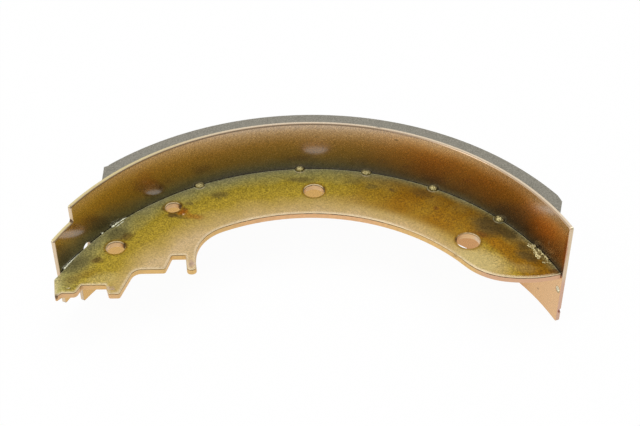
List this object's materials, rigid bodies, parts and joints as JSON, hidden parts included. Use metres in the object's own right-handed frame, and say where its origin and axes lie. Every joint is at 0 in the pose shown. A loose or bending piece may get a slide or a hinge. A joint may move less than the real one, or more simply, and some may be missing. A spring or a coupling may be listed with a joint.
{
  "type": "drum brake shoe",
  "caption": "Curved T-section drum brake shoe: a bonded friction lining on a rolled steel rim, with a slotted and drilled crescent web welded inside it.",
  "frame": {"origin": "centre of the hold-down hole, half way through the web", "axes": "+Z parallel to the drum's axis and up as the shoe lies on its rim edge, +X along the shoe towards the cam-shaped end of the web, +Y towards the lining's crown"},
  "size_m": [0.2205, 0.0947, 0.0539],
  "materials": {
    "rim_zinc": "yellow passivated zinc",
    "web_zinc": "yellow passivated zinc",
    "weld": "plated weld metal",
    "lining": "moulded friction material"
  },
  "bodies": {
    "root": {"rim": "rim_zinc", "web": "web_zinc", "friction_lining": "lining", "weld_nugget_1": "weld", "weld_nugget_2": "weld", "weld_nugget_3": "weld", "weld_nugget_4": "weld", "weld_nugget_5": "weld", "left_bead": "weld", "left_spatter": "weld", "left_end_bead": "weld", "right_end_tack": "weld"}
  },
  "joints": []
}
